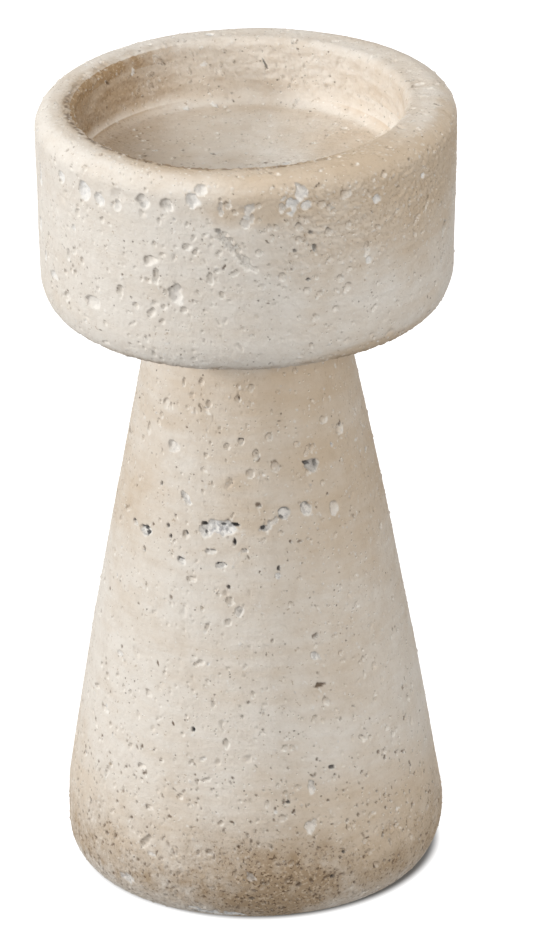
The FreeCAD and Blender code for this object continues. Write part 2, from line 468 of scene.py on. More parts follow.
# ---------------------------------------------------------------- materials
class Paint:
    """A short way to build a procedural material: each method adds a node and returns its output."""

    def __init__(self, name):
        self.material = bpy.data.materials.new(name)
        self.material.use_nodes = True
        self.tree = self.material.node_tree
        self.shader = self.tree.nodes["Principled BSDF"]

    def node(self, kind, inputs=None, **settings):
        node = self.tree.nodes.new(kind)
        for key, value in settings.items():
            setattr(node, key, value)
        for key, value in (inputs or {}).items():
            self.put(node.inputs[key], value)
        return node

    def put(self, socket, value):
        if isinstance(value, bpy.types.NodeSocket):
            self.tree.links.new(value, socket)
        else:
            socket.default_value = value

    def place(self):
        """Where a spot is on the object, in millimetres."""
        inputs = {0: self.node("ShaderNodeTexCoord").outputs["Object"], "Scale": 1 / MM}
        return self.node("ShaderNodeVectorMath", inputs, operation="SCALE").outputs[0]

    def stretched(self, place, scale):
        return self.node("ShaderNodeVectorMath", {0: place, 1: scale}, operation="MULTIPLY").outputs[0]

    def noise(self, place, size, detail=3.0, rough=0.55, twist=0.0):
        inputs = {"Vector": place, "Scale": 1 / size, "Detail": detail, "Roughness": rough}
        inputs["Distortion"] = twist
        return self.node("ShaderNodeTexNoise", inputs).outputs["Fac"]

    def cells(self, place, size):
        inputs = {"Vector": place, "Scale": 1 / size}
        return self.node("ShaderNodeTexVoronoi", inputs).outputs["Distance"]

    def pinpricks(self, place, spacing, radius, shift):
        """Tiny round spots, 1 inside. Some cells have none. A shift moves them all, in mm."""
        moved = self.node("ShaderNodeVectorMath", {0: place, 1: shift}, operation="SUBTRACT").outputs[0]
        cell = self.node("ShaderNodeTexVoronoi", {"Vector": moved, "Scale": 1 / spacing})
        chosen = self.ramp(self.axis(cell.outputs["Color"], "x"), 0.5, 0.9, 0.0, radius / spacing)
        crowded = self.ramp(self.noise(place, 12, 2, 0.5), 0.4, 0.6, 0.35, 1.0)
        chosen = self.maths("MULTIPLY", chosen, crowded)
        return self.ramp(self.maths("SUBTRACT", chosen, cell.outputs["Distance"]), 0.0, 0.04)

    def attribute(self, name):
        return self.node("ShaderNodeAttribute", attribute_name=name).outputs["Fac"]

    def ramp(self, value, low, high, start=0.0, end=1.0):
        inputs = {0: value, 1: low, 2: high, 3: start, 4: end}
        return self.node("ShaderNodeMapRange", inputs, interpolation_type="SMOOTHSTEP").outputs[0]

    def maths(self, operation, *values):
        return self.node("ShaderNodeMath", dict(enumerate(values)), operation=operation).outputs[0]

    def mix(self, share, first, second, blend="MIX"):
        inputs = {0: share, 6: first, 7: second}
        return self.node("ShaderNodeMix", inputs, data_type="RGBA", blend_type=blend).outputs[2]

    def bump(self, height, strength, distance, normal=None):
        inputs = {"Height": height, "Strength": strength, "Distance": distance}
        if normal:
            inputs["Normal"] = normal
        return self.node("ShaderNodeBump", inputs).outputs["Normal"]

    def axis(self, place, letter):
        return self.node("ShaderNodeSeparateXYZ", {0: place}).outputs[letter.upper()]


def colour(red, green, blue):
    """A screen colour, 0 to 255, as linear light."""
    return tuple(((c / 255 + 0.055) / 1.055) ** 2.4 for c in (red, green, blue)) + (1.0,)


IVORY = colour(228, 221, 211)
TAN = colour(204, 184, 159)
CHALK = colour(236, 233, 228)
HIGHLIGHT_WHITE = colour(247, 243, 235)
STONE = colour(166, 166, 168)
BROWN = colour(138, 113, 84)
SHADE = colour(160, 138, 112)
DUST_AND_SHADE_COLOUR = colour(158, 132, 100)
DIRT_AND_SHADE_COLOUR = colour(98, 78, 58)
SHADOW_BLACK = colour(50, 49, 50)


def cement(name, sandy_foot=False):
    """Limewashed cement: ivory over tan, chalk in the fresh pits and brown dirt and painted shade in
    the others. The sizes of the noises are in mm. What the skin's fields cover goes on top of the plain
    cement."""
    paint = Paint(name)
    place = paint.place()
    height = paint.axis(place, "z")

    # Wash: thick and ivory, or thin with the tan cement showing through
    patches = paint.noise(place, 30, 4, 0.6)
    streaks = paint.noise(paint.stretched(place, (0.3, 0.3, 1.8)), 9, 5, 0.65, 0.3)
    patchy = paint.ramp(patches, 0.3, 0.7, -0.14, 0.14)
    streaky = paint.ramp(streaks, 0.3, 0.7, -0.1, 0.1)
    wash = paint.maths("ADD", paint.attribute("wash"), paint.maths("ADD", patchy, streaky))
    base = paint.mix(paint.ramp(wash, 0.0, 1.0), IVORY, TAN)
    if sandy_foot:
        edge = paint.maths("ADD", height, paint.ramp(patches, 0.3, 0.7, -14, 14))
        sandy = paint.ramp(edge, 8, 36, 0.38, 0.0)
        speckle = paint.ramp(paint.noise(place, 1.3, 4, 0.8), 0.4, 0.62, 0.15, 1.0)
        base = paint.mix(paint.maths("MULTIPLY", sandy, speckle), base, BROWN)

    # Mottling, specks of chalk, pinholes in painted shade, and tiny pores: painted shade with a painted
    # highlight below right
    mottle = paint.ramp(paint.noise(place, 3.4, 4, 0.7), 0.38, 0.72, 0.0, 0.14)
    base = paint.mix(mottle, base, SHADE)
    specks = paint.ramp(paint.noise(place, 1.1, 2, 0.6), 0.66, 0.74, 0.0, 0.55)
    base = paint.mix(specks, base, SHADE)
    chalk = paint.ramp(paint.noise(place, 1.7, 3, 0.6), 0.62, 0.74, 0.0, 0.5)
    base = paint.mix(chalk, base, CHALK)
    base = paint.mix(paint.ramp(paint.attribute("deep"), 0.1, 0.7, 0.0, 0.15), base, CHALK)
    pinholes = paint.ramp(paint.cells(place, 2.7), 0.06, 0.12, 1.0, 0.0)
    pinholes = paint.maths("MULTIPLY", pinholes, paint.ramp(paint.noise(place, 11, 2, 0.5), 0.45, 0.6))
    base = paint.mix(paint.maths("MULTIPLY", pinholes, 0.55), base, DIRT_AND_SHADE_COLOUR)
    for spacing, radius in ((1.9, 0.34), (1.2, 0.26)):
        pore_shade = paint.pinpricks(place, spacing, radius, (0, 0, 0))
        pore_highlight = paint.pinpricks(place, spacing, radius, (0.15, 0, -0.26))
        base = paint.mix(paint.maths("MULTIPLY", pore_highlight, 0.5), base, HIGHLIGHT_WHITE)
        base = paint.mix(paint.maths("MULTIPLY", pore_shade, 0.38), base, DIRT_AND_SHADE_COLOUR)

    # Dust and painted shade, with dark grit and golden grains in it, then the linings of the pits:
    # dirt and painted shade, painted highlights, fresh cement and painted black shadows
    dusty_and_shaded = paint.attribute("dust_and_shade")
    base = paint.mix(dusty_and_shaded, base, DUST_AND_SHADE_COLOUR)
    most_grit, most_gold = (1.0, 0.8) if sandy_foot else (0.3, 0.4)
    mirrored = paint.stretched(place, (1, 1, -1))
    grit = paint.ramp(paint.noise(place, 0.8, 2, 0.5), 0.58, 0.64, 0.0, most_grit)
    gold = paint.ramp(paint.noise(mirrored, 0.9, 2, 0.5), 0.56, 0.64, 0.0, most_gold)
    base = paint.mix(paint.maths("MULTIPLY", grit, dusty_and_shaded), base, DIRT_AND_SHADE_COLOUR)
    base = paint.mix(paint.maths("MULTIPLY", gold, dusty_and_shaded), base, TAN)
    base = paint.mix(paint.attribute("dirt_and_shade"), base, DIRT_AND_SHADE_COLOUR)
    # Painted highlights on the pits' lower right lips
    base = paint.mix(paint.attribute("painted_highlight"), base, HIGHLIGHT_WHITE)
    most_stone = 0.7 if sandy_foot else 0.3
    broken = paint.ramp(paint.noise(place, 1.1, 3, 0.65), 0.45, 0.62, 0.0, most_stone)
    base = paint.mix(paint.attribute("raw"), base, paint.mix(broken, CHALK, STONE))
    base = paint.mix(paint.attribute("dark"), base, SHADOW_BLACK)

    # Sandy relief that is too fine for the mesh
    grains = paint.noise(place, 0.8, 4, 0.75)
    sand = paint.noise(place, 2.4, 3, 0.6)
    brush = paint.noise(paint.stretched(place, (0.12, 0.12, 1.0)), 1.2, 3, 0.6)
    relief = paint.bump(sand, 0.5, 0.5 * MM)
    relief = paint.bump(brush, 0.3, 0.25 * MM, relief)
    relief = paint.bump(grains, 0.85, 0.25 * MM, relief)
    relief = paint.bump(pinholes, 0.8, -0.4 * MM, relief)
    paint.put(paint.shader.inputs["Base Color"], base)
    paint.put(paint.shader.inputs["Normal"], relief)
    paint.put(paint.shader.inputs["Roughness"], paint.ramp(grains, 0.3, 0.7, 0.8, 0.95))
    paint.put(paint.shader.inputs["Specular IOR Level"], 0.3)
    return paint.material


def mortar_grey():
    """Plain grey mortar, sandy and never limewashed."""
    paint = Paint("mortar_grey")
    place = paint.place()
    sand = paint.noise(place, 1.2, 4, 0.75)
    tint = paint.mix(paint.ramp(sand, 0.35, 0.65), colour(150, 140, 126), colour(188, 178, 162))
    paint.put(paint.shader.inputs["Base Color"], tint)
    paint.put(paint.shader.inputs["Normal"], paint.bump(sand, 0.8, 0.3 * MM))
    paint.put(paint.shader.inputs["Roughness"], 0.95)
    paint.put(paint.shader.inputs["Specular IOR Level"], 0.2)
    return paint.material


def felt():
    """Dense grey-brown felt, with fibres lying every way."""
    paint = Paint("felt_grey_brown")
    place = paint.place()
    one_way = paint.noise(paint.stretched(place, (0.3, 1.6, 1.0)), 0.5, 3, 0.7, 0.8)
    other_way = paint.noise(paint.stretched(place, (1.6, 0.3, 1.0)), 0.5, 3, 0.7, 0.8)
    fibres = paint.maths("MAXIMUM", one_way, other_way)
    tint = paint.mix(paint.ramp(fibres, 0.4, 0.75), colour(84, 74, 64), colour(138, 126, 112))
    paint.put(paint.shader.inputs["Base Color"], tint)
    paint.put(paint.shader.inputs["Normal"], paint.bump(fibres, 0.9, 0.15 * MM))
    paint.put(paint.shader.inputs["Roughness"], 1.0)
    paint.put(paint.shader.inputs["Specular IOR Level"], 0.1)
    paint.put(paint.shader.inputs["Sheen Weight"], 0.3)
    return paint.material


# ---------------------------------------------------------------- the castings
def knobs(skin, mask, size, height):
    """Small rounded knobs with sharp creases between them, where mask is 1. Dust and painted shade
    darken the creases.
    """
    big = np.abs(skin.noise(skin.points + 300, size))
    small = np.abs(skin.noise(skin.points + 400, size * 0.55))
    lumps = big + 0.5 * small
    skin.relief += (lumps - 0.4) * height * mask
    skin.dust_and_shade = np.maximum(skin.dust_and_shade, 0.4 * mask * smooth(0.25, 0.06, lumps))


def cup_wall_marks(skin):
    """The bubbles and gouges that stand out on the cup's wall."""
    # A row of burst bubbles below the rim, the left ones full of fresh white cement
    skin.mark(-60, 207.5, 3, 3.2, 0.8, raw=0.9)
    skin.mark(-77, 201, 2.4, 6, 0.5, raw=0.9, ragged=1.6)
    skin.mark(-81, 187, 3, 5, 0.5, raw=0.8, ragged=1.6)
    skin.mark(-75, 180, 2.4, 3, 0.5, raw=0.7)
    skin.mark(-49.5, 207, 4.4, 5.2, 1.3, raw=1)
    skin.mark(-43.5, 206.5, 4.2, 3.4, 0.8, raw=0.8, ragged=2)
    skin.mark(-36.5, 209, 6, 3.8, 0.7, kind="dent")
    skin.mark(-37, 206, 2.6, 3.4, 0.8, raw=0.4)
    skin.mark(-29, 209, 4.6, 3.8, 1.1, turn=30, raw=0.25)
    skin.mark(-28.5, 207.5, 2, 2, 1.5, raw=0.7)
    skin.mark(-21.5, 208.5, 4.2, 4, 1.1, raw=0.2)
    skin.mark(-21, 208, 1.6, 1.8, 1.5, raw=0.6)
    skin.mark(-14.5, 210.5, 4.4, 3.7, 1.0, raw=0.7, ragged=1.3)
    skin.mark(-12.5, 213.5, 3.6, 2.8, 0.9, raw=0.5)
    skin.mark(-7, 208.5, 1.3, 4, 0.8, raw=0.4)
    skin.mark(0.5, 208, 3.2, 3.4, 0.9, raw=0.6, ragged=2.4)
    skin.mark(3, 209.5, 2, 1.5, 0.6, turn=-30)
    skin.mark(-3, 208, 2, 1.3, 0.6, turn=15)
    skin.mark(1.5, 206, 1.4, 2.4, 0.7, raw=0.4)
    skin.mark(-0.5, 204.5, 2.4, 2.6, 0.8, raw=0.4)
    # Bubbles full of grey-white dust, right of the middle
    skin.mark(15, 212.5, 3.4, 4.6, 1.1, raw=0.7, ragged=1.6)
    skin.mark(12.5, 208.5, 3.4, 3.8, 0.9, raw=0.9, ragged=1.8)
    skin.mark(16, 208.5, 2.6, 2.8, 0.9, raw=0.8)
    skin.mark(9.5, 208.5, 2, 2.6, 0.8, raw=0.4)
    skin.mark(27.5, 210, 4, 3.2, 0.9, ragged=1.5)
    skin.mark(37.5, 205.5, 2.6, 2.6, 0.9, raw=0.8)
    # Small open bubbles among the grains, high on the right
    skin.mark(20.5, 208, 2.4, 2, 0.7)
    skin.mark(24, 205.5, 1.6, 1.6, 0.7)
    skin.mark(14, 202.5, 2, 2.4, 0.9, lid=0.4)
    skin.mark(14, 199, 1.6, 2.4, 0.8)
    skin.mark(22.5, 200, 2, 2.6, 0.9, lid=0.3)
    skin.mark(28.5, 201, 1.4, 2.4, 0.7)
    skin.mark(34, 201, 4, 4, 0.5, kind="dent")
    skin.mark(18.5, 196, 1, 2.4, 0.9, dark=0.6)
    skin.mark(13, 196, 1.1, 1, 0.9, dark=0.6)
    skin.mark(17.5, 200.5, 1.1, 1, 0.9, dark=0.6)
    skin.mark(23, 192, 2.6, 1.1, 0.8, turn=-35)
    skin.mark(16.5, 184.5, 2, 1.8, 0.7)
    # A long gouge that runs down to the right, and its fainter branch
    skin.groove([(-7, 201.5), (-4, 198), (-1, 194.5), (0.5, 192.5)], 2.3, 1.4, ragged=2.2)
    skin.mark(-7.5, 202.5, 1.6, 1.6, 1.0, dark=0.4)
    skin.groove([(0.5, 192.5), (3, 191)], 1.3, 0.5)
    skin.groove([(-4.5, 190), (-2, 191.5)], 1.2, 0.6)
    # Bigger pits on the left
    skin.mark(-27, 192.5, 4, 2.6, 1.1, turn=-20)
    skin.mark(-16, 197.5, 2.6, 1.8, 0.9)
    skin.mark(-14, 196, 1.5, 1.8, 0.8)
    skin.mark(-19.5, 184, 4, 5.4, 1.5, turn=-15, raw=0.3)
    skin.mark(-25.5, 188, 1.8, 4.4, 1.1)
    skin.mark(-37, 182, 2, 3.8, 1.2)
    skin.mark(-47.5, 176, 5, 3.4, 1.2, raw=0.3)
    skin.mark(-60, 173.5, 3, 3.4, 0.9)
    skin.mark(-68, 177, 6, 2, 0.7, raw=0.7)
    skin.mark(-27, 177.5, 1.9, 3.6, 0.9, turn=35)
    skin.mark(-10, 189, 1.9, 3.8, 1.0)
    skin.mark(-7, 184.5, 1.7, 2.1, 0.9)
    skin.mark(-17.5, 179.5, 2, 1.8, 0.9)
    skin.mark(-53, 199.5, 1.6, 2.2, 1.1)
    skin.mark(-58, 186, 1.5, 3.6, 1.1, raw=0.4)
    skin.mark(-51.5, 186.5, 1.6, 2, 0.9)
    # A drip with a white lower end, and small pits on the right
    skin.mark(34.5, 192.5, 1.8, 4.4, 0.8)
    skin.mark(35, 189.5, 1.8, 2.4, 0.7, raw=0.8)
    skin.mark(9.5, 189, 2.2, 2.6, 0.9)
    skin.mark(3, 196.5, 1.9, 2.1, 0.8)
    skin.mark(17, 187.5, 1.3, 0.9, 1.0, dark=0.8)
    # A thin scratch inside the dish, at the back, darkened with a painted shadow
    skin.stamp(math.radians(171), skin.row_at(209, (0.1, 0.36)), 0.7, 3.2, 0.3, turn=-0.45, dark=0.7)


def cup_wash(skin):
    """How much tan shows through the limewash on the cup, from 0 to 1, and where brown dust and painted
    shade lie. Angles are degrees to the right of the front, and rise is mm above the cup's bottom."""
    x, y, z = (skin.points[..., i] for i in range(3))
    right = np.degrees(np.arctan2(x, -y))
    across = np.hypot(x, y)
    rise = z - CUP_BOTTOM
    patchy = skin.noise.layers(skin.points + 700, 26, 3)
    fine = skin.noise.layers(skin.points + 900, 5, 3)

    # The outer wall is ivory on the left, and tan high on the right and under its right edge
    wall = 0.10 + 0.25 * smooth(-15, 50, right) + 0.35 * smooth(27, 47, rise) * smooth(5, 60, right)
    wall = wall + 0.7 * bump(2, 4, rise) * bump(40, 40, right)
    wall = wall - 0.08 * smooth(40, 65, right) * smooth(39, 19, rise)
    wall = wall + 0.16 * smooth(-30, 10, right) * smooth(17, 39, rise)
    wall = wall + 0.32 * smooth(-34, -6, right) * smooth(40, 5, right) * smooth(41, 47, rise)
    wall = wall + 0.3 * bump(54, 36, right) * bump(28, 17, rise)
    wall = wall + (BACK_WASH - wall) * smooth(75, 125, np.abs(right))

    # The dish is pale along its cove, and its right inner wall, which faces the light, is painted
    # paler:
    # painted light. The rim is tan all round
    cove = bump(SEAT_RADIUS + 1.5, 3.5, across)
    dish = 0.42 - 0.3 * cove - 0.45 * bump(88, 70, right) * (z > SEAT_Z + 2)
    dish = dish + 0.14 * smooth(0, 30, x) * (z < SEAT_Z + 2)
    rim = smooth(CUP_RADIUS - 2.5, CUP_RADIUS - 5.5, across + fine * 1.5) * (z > SEAT_Z + 6)
    rim_wash = 0.42 + 0.3 * bump(30, 90, right) - 0.1 * smooth(110, 150, np.abs(right))
    wash = np.where(across > OPENING_RADIUS + 1, wall, dish)
    skin.wash += wash + (rim_wash - wash) * rim + 0.22 * patchy + 0.12 * fine

    # Dust and painted shade along the lip, most on its left and front, and under the bottom edge;
    # painted shade with some brown dust on the left inside the dish, where the rim shades it
    # The lip's left and front face away from the light
    dusty_and_shaded = smooth(45, 5, right) * smooth(-178, -125, right)
    lip = bump(OPENING_RADIUS + 1.8, 4.4, across) * (z > CUP_TOP - 4) * (0.2 + 0.8 * dusty_and_shaded)
    under_edge = bump(CUP_BOTTOM + 0.6, 2.6, z) * (across > OPENING_RADIUS + 1)
    inner_wall = (across < OPENING_RADIUS + 1) * smooth(SEAT_Z + 0.2, SEAT_Z + 4, z)
    dish_floor = (across < SEAT_RADIUS + 3) * (z < SEAT_Z + 3) * (z > SEAT_Z - 1)
    shaded_left = smooth(-8, -36, x)
    dust_and_shade = 0.62 * lip + 0.6 * under_edge
    skin.dust_and_shade += np.clip(dust_and_shade * (0.75 + 0.9 * fine + 0.4 * patchy), 0, 0.9)
    skin.dust_and_shade += dish_floor * shaded_left * (0.7 + 0.2 * patchy)
    skin.dust_and_shade += inner_wall * shaded_left * (0.85 + 0.25 * fine + 0.25 * patchy)

    # Crumbs are missing along the lip and the bottom edge. The chips on the lip's left and front are
    # darkened with painted shade
    crumbs = smooth(-0.25, 0.15, skin.noise(skin.points + 1100, 1.5) + 0.5 * patchy)
    on_lip = (z > CUP_TOP - 3.5) * dusty_and_shaded
    lip_line = bump(OPENING_RADIUS + 2.4, 1.6, across) * on_lip * smooth(-120, -90, right)
    skin.dirt_and_shade = np.maximum(skin.dirt_and_shade, 0.7 * crumbs * lip_line)
    skin.relief -= 0.35 * crumbs * bump(OPENING_RADIUS + 1.2, 2.0, across) * on_lip
    skin.relief -= 0.2 * crumbs * under_edge


def cup_grains(right, height):
    """Grains stand out most over the rim and high on the right, and least on the dish's floor."""
    if abs(height - SEAT_Z) < 1:
        return 0.1
    over_rim = height > CUP_TOP - 4
    high_right = height > CUP_BOTTOM + 27 and 10 < right < 100
    bottom_edge = height < CUP_BOTTOM + 5 and abs(right) < 90
    return 0.12 + 0.88 * float(over_rim or high_right or bottom_edge)


def set_cup_askew(skin):
    """The cup climbs a little to the right, and its dish sits a little to the left."""
    x, y, z = (skin.points[..., i].copy() for i in range(3))
    inner = smooth(CUP_RADIUS - 1, OPENING_RADIUS + 1, np.hypot(x, y)) * smooth(SEAT_Z - 4, SEAT_Z, z)
    skin.points[..., 2] += CUP_TILT * x
    skin.points[..., 0] += DISH_SHIFT * inner


def make_cup():
    columns = int(round(2 * math.pi * CUP_RADIUS / GRID_STEP / 4)) * 4
    skin = Skin("cup_casting", cup_profile(GRID_STEP), columns, seed=11)
    skin.outside = (0.36, 1)
    x, y, z = (skin.points[..., i] for i in range(3))
    right = np.degrees(np.arctan2(x, -y))
    wall_rows = (skin.row_at(CUP_TOP - 6, skin.outside), skin.row_at(CUP_BOTTOM + 3, skin.outside))

    skin.relief += skin.noise.layers(skin.points, 38, 2) * 0.3
    skin.relief += skin.noise.layers(skin.points, 7, 3) * 0.08
    dish_wall = smooth(OPENING_RADIUS + 1, OPENING_RADIUS - 1.5, np.hypot(x, y))
    dish_wall = dish_wall * smooth(SEAT_Z + 2, SEAT_Z + 6, z)
    ledges = np.abs(skin.noise(skin.points * (0.45, 0.45, 1.0), 3.4))
    ledges = ledges + skin.noise.layers(skin.points * (0.5, 0.5, 1), 2.4, 3)
    skin.relief += (ledges - 0.3) * 0.8 * dish_wall
    knobs(skin, 0.6 * dish_wall, 2.4, 0.7)
    knobbly = smooth(CUP_BOTTOM + 23, CUP_BOTTOM + 41, z) * smooth(CUP_TOP - 1, CUP_TOP - 5, z)
    knobbly = knobbly * smooth(2, 18, right) * smooth(110, 60, right)
    knobs(skin, 0.15 + 0.85 * knobbly, 1.7, 0.55)

    everything = (0, len(skin.profile) - 1)
    skin.scatter(0.085, (0.5, 0.95), everything, dirt_and_shade_share=0.08)
    skin.scatter(0.022, (0.8, 1.7), everything, raw_share=0.06, dirt_and_shade_share=0.02)
    skin.scatter(0.0009, (1.5, 2.3), wall_rows)
    skin.scatter(0.11, (0.5, 1.2), everything, grains=True, weight=cup_grains)
    cup_wall_marks(skin)
    cup_wash(skin)
    set_cup_askew(skin)

    rim_middle = skin.run[skin.row_at(CUP_TOP, (0.2, 0.6))]
    underside = skin.run[skin.row_at(CUP_BOTTOM, (0.5, 1))]
    skin.charts = [
        {"rows": (0, rim_middle), "shape": "disc", "area": (0.01, 0.01, 0.49, 0.49)},
        {"rows": (rim_middle, underside), "shape": "band", "area": (0.012, 0.505, 0.988, 0.995),
         "lengths": 2},
        {"rows": (underside, skin.run[-1]), "shape": "disc from the edge",
         "area": (0.51, 0.01, 0.99, 0.49)},
    ]
    skin.finish(cement("cup_cement"), "cup")


def pedestal_marks(skin):
    """The pits and fissures that stand out on the pedestal."""
    # Under the cup
    skin.mark(-40.5, 128.5, 3.6, 3.2, 1.0, raw=0.4)
    skin.mark(-38, 146, 1.2, 2.4, 0.8)
    skin.mark(-27, 147, 1.6, 1.8, 0.8)
    skin.mark(-49, 139, 2.4, 3, 0.8)
    skin.mark(-21.5, 141.5, 2, 2, 0.9)
    skin.mark(-6, 143.5, 1.8, 2.1, 0.7)
    skin.mark(-4, 132.5, 1.8, 1.7, 0.9, lid=0.8)
    skin.mark(-11, 131, 2.1, 2, 0.8)
    skin.mark(10, 133.5, 2.1, 2.3, 0.8)
    skin.mark(3.5, 129, 1.9, 3, 0.9)
    skin.mark(12, 125.5, 2, 3.3, 1.2)
    skin.mark(0, 124, 2.2, 3, 0.9)
    skin.mark(41, 135, 2.8, 2.3, 0.7)
    skin.mark(51, 131, 2.8, 3, 0.8)
    skin.mark(24, 130.5, 2, 1.8, 0.8)
    # A three-cornered hole with a painted shadow along its edge
    skin.mark(30, 124, 4, 3.4, 1.3, raw=0.5, dark=0.3, ragged=1.7)
    skin.mark(28.5, 125, 3, 1.3, 1.7, turn=20, dark=0.8)
    skin.mark(33, 124.5, 1, 2.4, 1.7, dark=0.6)
    # A broken row of fissures across the front, with painted shadows along their upper edges
    skin.mark(-30.5, 116, 1.9, 4.2, 1.3, turn=-45, raw=0.8)
    skin.mark(-51, 104, 4.4, 2.8, 1.3, raw=0.8, lid=1)
    skin.mark(-52, 104.5, 1.6, 1.2, 1.6, dark=0.9)
    skin.mark(-50, 103.5, 2, 1.5, 1.7, dark=0.9)
    skin.mark(-59, 104.5, 2.6, 1.5, 1.3, turn=20, raw=0.5, lid=1)
    skin.mark(-20.5, 108.5, 4.2, 3.7, 1.2, raw=0.7, ragged=1.6)
    skin.mark(-20.5, 110, 1.7, 1.2, 1.7, dark=0.9)
    skin.mark(-15.5, 110, 5, 2.4, 0.9, raw=0.9, ragged=1.5)
    skin.mark(-11, 109.5, 7.4, 3.7, 1.3, raw=0.95, ragged=1.7)
    skin.mark(-12, 110.5, 1.5, 0.9, 1.6, dark=0.85)
    skin.mark(-20, 108, 1.1, 1.0, 1.6, dark=0.8)
    skin.mark(-6.5, 110.5, 2.5, 1.1, 1.7, turn=15, dark=0.95)
    skin.mark(-7, 106, 0.9, 1.8, 1.2, dark=0.9)
    skin.mark(-17.5, 103, 3.8, 1.3, 0.8, raw=0.5, lid=0.8)
    skin.mark(-2.5, 103.5, 2.2, 1.0, 0.9, raw=0.4, lid=0.8)
    skin.mark(-12.5, 99.5, 3.6, 1.7, 1.2, turn=-15, raw=0.6, lid=1)
    # A pit that climbs to the right, and two oval ones beyond it
    skin.groove([(8, 110.5), (10, 111), (12, 112)], 1.1, 0.9, raw=0.4)
    skin.mark(6.5, 109.5, 3, 2.4, 1.4, raw=0.7, ragged=1.6)
    skin.mark(5.5, 109.5, 1.6, 1.6, 1.7, dark=0.9)
    skin.mark(13.5, 112, 1.4, 1.1, 1.6, dark=0.6)
    skin.mark(15, 113, 2.9, 3.1, 1.2, raw=0.7, lid=0.5)
    skin.mark(26, 113.5, 3.2, 3.8, 0.9, raw=0.6, lid=0.3)
    skin.mark(40, 111.5, 2.8, 4.4, 0.7, raw=0.35)
    # A chip below the row, and pinholes painted black all round it: painted shadow
    skin.mark(-29.5, 99, 3, 2, 0.8, turn=30, raw=0.6, lid=0.8)
    pinholes = ((-38.5, 107.5), (-36.5, 105), (-29, 107), (-50, 99), (-9, 94), (11.5, 98.5))
    for right, height in pinholes + ((-45, 118),):
        skin.mark(right, height, 1, 1.3, 1.2, dark=0.8)
    # Lower down
    skin.mark(-5, 87.5, 2.2, 2.6, 1.0, raw=0.4)
    skin.mark(-9, 84.5, 2, 2, 0.9)
    skin.mark(-27.5, 85.5, 2.4, 3, 0.6, kind="dent")
    skin.mark(-17.5, 82.5, 1.2, 3, 1.0, turn=20)
    skin.mark(23.5, 74, 2.4, 2.3, 0.8, raw=0.7)
    skin.mark(34.5, 73, 1.7, 1.5, 0.8)
    skin.mark(-56.5, 69, 2.4, 1.5, 0.7, raw=0.6)
    skin.mark(-21, 55, 1, 1.3, 1.2, dark=0.9)
    skin.mark(-9, 52, 1.9, 3, 1.0)
    skin.mark(26.5, 43.5, 1.8, 1.4, 1.2, dark=0.8)
    skin.mark(-39.5, 42, 2.8, 1.4, 1.0)
    skin.mark(19, 39, 2, 4, 0.8, raw=0.5)
    skin.mark(18, 29, 2.6, 4, 0.8, raw=0.45, ragged=2)
    skin.mark(11, 36, 1.2, 0.9, 1.1, dark=0.8)
    skin.mark(-35.5, 31.5, 2.4, 1.5, 1.0)
    skin.mark(-14, 22.5, 2.3, 1.7, 1.0)
    skin.mark(-1.5, 16, 3, 2.2, 0.9, raw=0.4, ragged=2)
    skin.mark(-1, 9.5, 1.7, 1.2, 1.0, dark=0.6)
    skin.mark(28, 20, 1.2, 1, 1.0, dark=0.8)
    skin.mark(24, 14, 1.2, 1.2, 1.0, dark=0.8)
    skin.mark(36, 21.5, 1.7, 1.5, 0.9)
    skin.mark(40, 13.5, 1.8, 1.8, 0.9)
    skin.mark(-44, 9.5, 5, 2.6, 0.6, raw=0.6, ragged=2)
    skin.mark(-12, 3, 11, 2.6, 0.5, raw=1, ragged=2)
    skin.mark(-20, 4.5, 5, 1.8, 0.5, raw=0.8, ragged=2)


def pedestal_wash(skin):
    """How much tan shows through the limewash on the pedestal, from 0 to 1, and the foot's dust.
    Angles are degrees to the right of the front, and z is mm above the table."""
    x, y, z = (skin.points[..., i] for i in range(3))
    right = np.degrees(np.arctan2(x, -y))
    patchy = skin.noise.layers(skin.points + 700, 30, 3)
    fine = skin.noise.layers(skin.points + 900, 5, 3)

    # Tan on the upper half and on the right, ivory between and on the left of the neck
    wash = 0.15 + 0.45 * smooth(85, 118, z) + 0.3 * smooth(60, 25, z)
    left_neck = smooth(-20, -55, right) * smooth(-160, -120, right) * smooth(114, 130, z)
    wash = wash + 0.25 * bump(60, 70, right) - 0.25 * left_neck
    wash = wash - 0.3 * bump(116, 24, z) * bump(-28, 34, right)
    wash = wash + 0.25 * bump(76, 26, z) * bump(5, 75, right)
    # Paler near the table, except in front: painted light on the foot's downward-facing curve
    wash = wash - 0.4 * smooth(12, 3, z) * (1 - bump(4, 35, right))
    skin.wash += wash + 0.15 * patchy + 0.1 * fine

    # The foot is a little flat on its left, and brown dust climbs it, most of all in front. Near the
    # table the dust thins, except in front: painted light. The pits' painted highlights fade under the
    # dust
    skin.relief -= 0.9 * bump(15, 10, z) * bump(-90, 60, right)
    foot = smooth(31, 8, z + patchy * 9 - 5 * bump(8, 40, right))
    foot = foot * (1 - 0.7 * smooth(10, 3, z) * (1 - bump(4, 30, right)))
    skin.painted_highlight *= 1 - 0.7 * foot
    browner = 0.36 + 0.65 * bump(6, 32, right) + 0.2 * bump(66, 30, right)
    skin.dust_and_shade += np.clip(foot * (browner + 0.8 * fine), 0, 0.85)


def pedestal_grains(right, height):
    """Grains stand out most on the foot and high on the right."""
    return 0.15 + 0.85 * float(height < 22 or (height > 60 and 20 < right < 110))


def foot_pores(right, height):
    """Small pores, darkened with dirt and painted shade, crowd towards the foot."""
    return float(smooth(60, 10, height))


